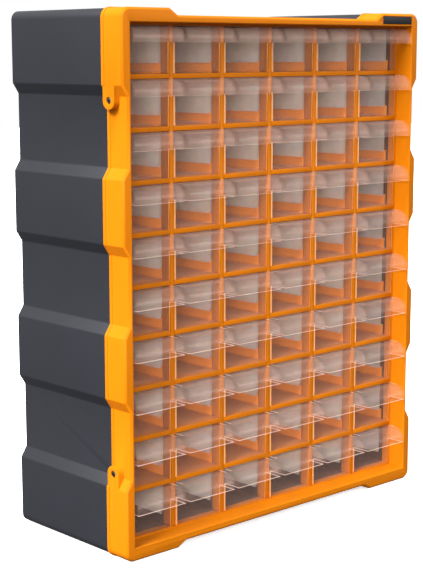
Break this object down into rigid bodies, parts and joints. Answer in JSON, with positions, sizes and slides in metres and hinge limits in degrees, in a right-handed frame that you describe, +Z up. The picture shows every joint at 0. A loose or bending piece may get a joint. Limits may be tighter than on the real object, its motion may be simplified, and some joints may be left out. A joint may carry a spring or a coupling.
{
  "type": "parts bin cabinet",
  "caption": "Small-parts cabinet: a dark ribbed housing with an orange front frame and shelf grid, holding rows of clear drawers that slide out on hooded pulls.",
  "frame": {"origin": "middle of the bounding box at the level of the feet, with every drawer closed", "axes": "+X to the right of someone facing the drawers, +Y to the cabinet's back, +Z up"},
  "size_m": [0.38, 0.16, 0.475],
  "materials": {
    "housing_plastic": "charcoal polypropylene with a fine moulded grain",
    "frame_plastic": "orange polypropylene, satin",
    "drawer_plastic": "frosted clear polypropylene",
    "badge_plastic": "plain black plate",
    "screw_steel": "zinc-plated pan heads"
  },
  "bodies": {
    "cabinet": {"housing": "housing_plastic", "front_frame": "frame_plastic", "shelf_grid": "frame_plastic", "frame_screws": "screw_steel", "badge_plate": "badge_plastic"},
    "drawer_r1_c1": {"drawer_r1_c1": "drawer_plastic"},
    "drawer_r1_c2": {"drawer_r1_c2": "drawer_plastic"},
    "drawer_r1_c3": {"drawer_r1_c3": "drawer_plastic"},
    "drawer_r1_c4": {"drawer_r1_c4": "drawer_plastic"},
    "drawer_r1_c5": {"drawer_r1_c5": "drawer_plastic"},
    "drawer_r1_c6": {"drawer_r1_c6": "drawer_plastic"},
    "drawer_r2_c1": {"drawer_r2_c1": "drawer_plastic"},
    "drawer_r2_c2": {"drawer_r2_c2": "drawer_plastic"},
    "drawer_r2_c3": {"drawer_r2_c3": "drawer_plastic"},
    "drawer_r2_c4": {"drawer_r2_c4": "drawer_plastic"},
    "drawer_r2_c5": {"drawer_r2_c5": "drawer_plastic"},
    "drawer_r2_c6": {"drawer_r2_c6": "drawer_plastic"},
    "drawer_r3_c1": {"drawer_r3_c1": "drawer_plastic"},
    "drawer_r3_c2": {"drawer_r3_c2": "drawer_plastic"},
    "drawer_r3_c3": {"drawer_r3_c3": "drawer_plastic"},
    "drawer_r3_c4": {"drawer_r3_c4": "drawer_plastic"},
    "drawer_r3_c5": {"drawer_r3_c5": "drawer_plastic"},
    "drawer_r3_c6": {"drawer_r3_c6": "drawer_plastic"},
    "drawer_r4_c1": {"drawer_r4_c1": "drawer_plastic"},
    "drawer_r4_c2": {"drawer_r4_c2": "drawer_plastic"},
    "drawer_r4_c3": {"drawer_r4_c3": "drawer_plastic"},
    "drawer_r4_c4": {"drawer_r4_c4": "drawer_plastic"},
    "drawer_r4_c5": {"drawer_r4_c5": "drawer_plastic"},
    "drawer_r4_c6": {"drawer_r4_c6": "drawer_plastic"},
    "drawer_r5_c1": {"drawer_r5_c1": "drawer_plastic"},
    "drawer_r5_c2": {"drawer_r5_c2": "drawer_plastic"},
    "drawer_r5_c3": {"drawer_r5_c3": "drawer_plastic"},
    "drawer_r5_c4": {"drawer_r5_c4": "drawer_plastic"},
    "drawer_r5_c5": {"drawer_r5_c5": "drawer_plastic"},
    "drawer_r5_c6": {"drawer_r5_c6": "drawer_plastic"},
    "drawer_r6_c1": {"drawer_r6_c1": "drawer_plastic"},
    "drawer_r6_c2": {"drawer_r6_c2": "drawer_plastic"},
    "drawer_r6_c3": {"drawer_r6_c3": "drawer_plastic"},
    "drawer_r6_c4": {"drawer_r6_c4": "drawer_plastic"},
    "drawer_r6_c5": {"drawer_r6_c5": "drawer_plastic"},
    "drawer_r6_c6": {"drawer_r6_c6": "drawer_plastic"},
    "drawer_r7_c1": {"drawer_r7_c1": "drawer_plastic"},
    "drawer_r7_c2": {"drawer_r7_c2": "drawer_plastic"},
    "drawer_r7_c3": {"drawer_r7_c3": "drawer_plastic"},
    "drawer_r7_c4": {"drawer_r7_c4": "drawer_plastic"},
    "drawer_r7_c5": {"drawer_r7_c5": "drawer_plastic"},
    "drawer_r7_c6": {"drawer_r7_c6": "drawer_plastic"},
    "drawer_r8_c1": {"drawer_r8_c1": "drawer_plastic"},
    "drawer_r8_c2": {"drawer_r8_c2": "drawer_plastic"},
    "drawer_r8_c3": {"drawer_r8_c3": "drawer_plastic"},
    "drawer_r8_c4": {"drawer_r8_c4": "drawer_plastic"},
    "drawer_r8_c5": {"drawer_r8_c5": "drawer_plastic"},
    "drawer_r8_c6": {"drawer_r8_c6": "drawer_plastic"},
    "drawer_r9_c1": {"drawer_r9_c1": "drawer_plastic"},
    "drawer_r9_c2": {"drawer_r9_c2": "drawer_plastic"},
    "drawer_r9_c3": {"drawer_r9_c3": "drawer_plastic"},
    "drawer_r9_c4": {"drawer_r9_c4": "drawer_plastic"},
    "drawer_r9_c5": {"drawer_r9_c5": "drawer_plastic"},
    "drawer_r9_c6": {"drawer_r9_c6": "drawer_plastic"},
    "bottom_drawers": {"bottom_drawers": "drawer_plastic"}
  },
  "joints": [
    {"name": "drawer_r1_c1_slide", "type": "slide", "parent": "cabinet", "child": "drawer_r1_c1", "axis": [0, -1, 0], "range_m": [0, 0.116]},
    {"name": "drawer_r1_c2_slide", "type": "slide", "parent": "cabinet", "child": "drawer_r1_c2", "axis": [0, -1, 0], "range_m": [0, 0.116]},
    {"name": "drawer_r1_c3_slide", "type": "slide", "parent": "cabinet", "child": "drawer_r1_c3", "axis": [0, -1, 0], "range_m": [0, 0.116]},
    {"name": "drawer_r1_c4_slide", "type": "slide", "parent": "cabinet", "child": "drawer_r1_c4", "axis": [0, -1, 0], "range_m": [0, 0.116]},
    {"name": "drawer_r1_c5_slide", "type": "slide", "parent": "cabinet", "child": "drawer_r1_c5", "axis": [0, -1, 0], "range_m": [0, 0.116]},
    {"name": "drawer_r1_c6_slide", "type": "slide", "parent": "cabinet", "child": "drawer_r1_c6", "axis": [0, -1, 0], "range_m": [0, 0.116]},
    {"name": "drawer_r2_c1_slide", "type": "slide", "parent": "cabinet", "child": "drawer_r2_c1", "axis": [0, -1, 0], "range_m": [0, 0.116]},
    {"name": "drawer_r2_c2_slide", "type": "slide", "parent": "cabinet", "child": "drawer_r2_c2", "axis": [0, -1, 0], "range_m": [0, 0.116]},
    {"name": "drawer_r2_c3_slide", "type": "slide", "parent": "cabinet", "child": "drawer_r2_c3", "axis": [0, -1, 0], "range_m": [0, 0.116]},
    {"name": "drawer_r2_c4_slide", "type": "slide", "parent": "cabinet", "child": "drawer_r2_c4", "axis": [0, -1, 0], "range_m": [0, 0.116]},
    {"name": "drawer_r2_c5_slide", "type": "slide", "parent": "cabinet", "child": "drawer_r2_c5", "axis": [0, -1, 0], "range_m": [0, 0.116]},
    {"name": "drawer_r2_c6_slide", "type": "slide", "parent": "cabinet", "child": "drawer_r2_c6", "axis": [0, -1, 0], "range_m": [0, 0.116]},
    {"name": "drawer_r3_c1_slide", "type": "slide", "parent": "cabinet", "child": "drawer_r3_c1", "axis": [0, -1, 0], "range_m": [0, 0.116]},
    {"name": "drawer_r3_c2_slide", "type": "slide", "parent": "cabinet", "child": "drawer_r3_c2", "axis": [0, -1, 0], "range_m": [0, 0.116]},
    {"name": "drawer_r3_c3_slide", "type": "slide", "parent": "cabinet", "child": "drawer_r3_c3", "axis": [0, -1, 0], "range_m": [0, 0.116]},
    {"name": "drawer_r3_c4_slide", "type": "slide", "parent": "cabinet", "child": "drawer_r3_c4", "axis": [0, -1, 0], "range_m": [0, 0.116]},
    {"name": "drawer_r3_c5_slide", "type": "slide", "parent": "cabinet", "child": "drawer_r3_c5", "axis": [0, -1, 0], "range_m": [0, 0.116]},
    {"name": "drawer_r3_c6_slide", "type": "slide", "parent": "cabinet", "child": "drawer_r3_c6", "axis": [0, -1, 0], "range_m": [0, 0.116]},
    {"name": "drawer_r4_c1_slide", "type": "slide", "parent": "cabinet", "child": "drawer_r4_c1", "axis": [0, -1, 0], "range_m": [0, 0.116]},
    {"name": "drawer_r4_c2_slide", "type": "slide", "parent": "cabinet", "child": "drawer_r4_c2", "axis": [0, -1, 0], "range_m": [0, 0.116]},
    {"name": "drawer_r4_c3_slide", "type": "slide", "parent": "cabinet", "child": "drawer_r4_c3", "axis": [0, -1, 0], "range_m": [0, 0.116]},
    {"name": "drawer_r4_c4_slide", "type": "slide", "parent": "cabinet", "child": "drawer_r4_c4", "axis": [0, -1, 0], "range_m": [0, 0.116]},
    {"name": "drawer_r4_c5_slide", "type": "slide", "parent": "cabinet", "child": "drawer_r4_c5", "axis": [0, -1, 0], "range_m": [0, 0.116]},
    {"name": "drawer_r4_c6_slide", "type": "slide", "parent": "cabinet", "child": "drawer_r4_c6", "axis": [0, -1, 0], "range_m": [0, 0.116]},
    {"name": "drawer_r5_c1_slide", "type": "slide", "parent": "cabinet", "child": "drawer_r5_c1", "axis": [0, -1, 0], "range_m": [0, 0.116]},
    {"name": "drawer_r5_c2_slide", "type": "slide", "parent": "cabinet", "child": "drawer_r5_c2", "axis": [0, -1, 0], "range_m": [0, 0.116]},
    {"name": "drawer_r5_c3_slide", "type": "slide", "parent": "cabinet", "child": "drawer_r5_c3", "axis": [0, -1, 0], "range_m": [0, 0.116]},
    {"name": "drawer_r5_c4_slide", "type": "slide", "parent": "cabinet", "child": "drawer_r5_c4", "axis": [0, -1, 0], "range_m": [0, 0.116]},
    {"name": "drawer_r5_c5_slide", "type": "slide", "parent": "cabinet", "child": "drawer_r5_c5", "axis": [0, -1, 0], "range_m": [0, 0.116]},
    {"name": "drawer_r5_c6_slide", "type": "slide", "parent": "cabinet", "child": "drawer_r5_c6", "axis": [0, -1, 0], "range_m": [0, 0.116]},
    {"name": "drawer_r6_c1_slide", "type": "slide", "parent": "cabinet", "child": "drawer_r6_c1", "axis": [0, -1, 0], "range_m": [0, 0.116]},
    {"name": "drawer_r6_c2_slide", "type": "slide", "parent": "cabinet", "child": "drawer_r6_c2", "axis": [0, -1, 0], "range_m": [0, 0.116]},
    {"name": "drawer_r6_c3_slide", "type": "slide", "parent": "cabinet", "child": "drawer_r6_c3", "axis": [0, -1, 0], "range_m": [0, 0.116]},
    {"name": "drawer_r6_c4_slide", "type": "slide", "parent": "cabinet", "child": "drawer_r6_c4", "axis": [0, -1, 0], "range_m": [0, 0.116]},
    {"name": "drawer_r6_c5_slide", "type": "slide", "parent": "cabinet", "child": "drawer_r6_c5", "axis": [0, -1, 0], "range_m": [0, 0.116]},
    {"name": "drawer_r6_c6_slide", "type": "slide", "parent": "cabinet", "child": "drawer_r6_c6", "axis": [0, -1, 0], "range_m": [0, 0.116]},
    {"name": "drawer_r7_c1_slide", "type": "slide", "parent": "cabinet", "child": "drawer_r7_c1", "axis": [0, -1, 0], "range_m": [0, 0.116]},
    {"name": "drawer_r7_c2_slide", "type": "slide", "parent": "cabinet", "child": "drawer_r7_c2", "axis": [0, -1, 0], "range_m": [0, 0.116]},
    {"name": "drawer_r7_c3_slide", "type": "slide", "parent": "cabinet", "child": "drawer_r7_c3", "axis": [0, -1, 0], "range_m": [0, 0.116]},
    {"name": "drawer_r7_c4_slide", "type": "slide", "parent": "cabinet", "child": "drawer_r7_c4", "axis": [0, -1, 0], "range_m": [0, 0.116]},
    {"name": "drawer_r7_c5_slide", "type": "slide", "parent": "cabinet", "child": "drawer_r7_c5", "axis": [0, -1, 0], "range_m": [0, 0.116]},
    {"name": "drawer_r7_c6_slide", "type": "slide", "parent": "cabinet", "child": "drawer_r7_c6", "axis": [0, -1, 0], "range_m": [0, 0.116]},
    {"name": "drawer_r8_c1_slide", "type": "slide", "parent": "cabinet", "child": "drawer_r8_c1", "axis": [0, -1, 0], "range_m": [0, 0.116]},
    {"name": "drawer_r8_c2_slide", "type": "slide", "parent": "cabinet", "child": "drawer_r8_c2", "axis": [0, -1, 0], "range_m": [0, 0.116]},
    {"name": "drawer_r8_c3_slide", "type": "slide", "parent": "cabinet", "child": "drawer_r8_c3", "axis": [0, -1, 0], "range_m": [0, 0.116]},
    {"name": "drawer_r8_c4_slide", "type": "slide", "parent": "cabinet", "child": "drawer_r8_c4", "axis": [0, -1, 0], "range_m": [0, 0.116]},
    {"name": "drawer_r8_c5_slide", "type": "slide", "parent": "cabinet", "child": "drawer_r8_c5", "axis": [0, -1, 0], "range_m": [0, 0.116]},
    {"name": "drawer_r8_c6_slide", "type": "slide", "parent": "cabinet", "child": "drawer_r8_c6", "axis": [0, -1, 0], "range_m": [0, 0.116]},
    {"name": "drawer_r9_c1_slide", "type": "slide", "parent": "cabinet", "child": "drawer_r9_c1", "axis": [0, -1, 0], "range_m": [0, 0.116]},
    {"name": "drawer_r9_c2_slide", "type": "slide", "parent": "cabinet", "child": "drawer_r9_c2", "axis": [0, -1, 0], "range_m": [0, 0.116]},
    {"name": "drawer_r9_c3_slide", "type": "slide", "parent": "cabinet", "child": "drawer_r9_c3", "axis": [0, -1, 0], "range_m": [0, 0.116]},
    {"name": "drawer_r9_c4_slide", "type": "slide", "parent": "cabinet", "child": "drawer_r9_c4", "axis": [0, -1, 0], "range_m": [0, 0.116]},
    {"name": "drawer_r9_c5_slide", "type": "slide", "parent": "cabinet", "child": "drawer_r9_c5", "axis": [0, -1, 0], "range_m": [0, 0.116]},
    {"name": "drawer_r9_c6_slide", "type": "slide", "parent": "cabinet", "child": "drawer_r9_c6", "axis": [0, -1, 0], "range_m": [0, 0.116]},
    {"name": "bottom_drawers_slide", "type": "slide", "parent": "cabinet", "child": "bottom_drawers", "axis": [0, -1, 0], "range_m": [0, 0.116]}
  ]
}
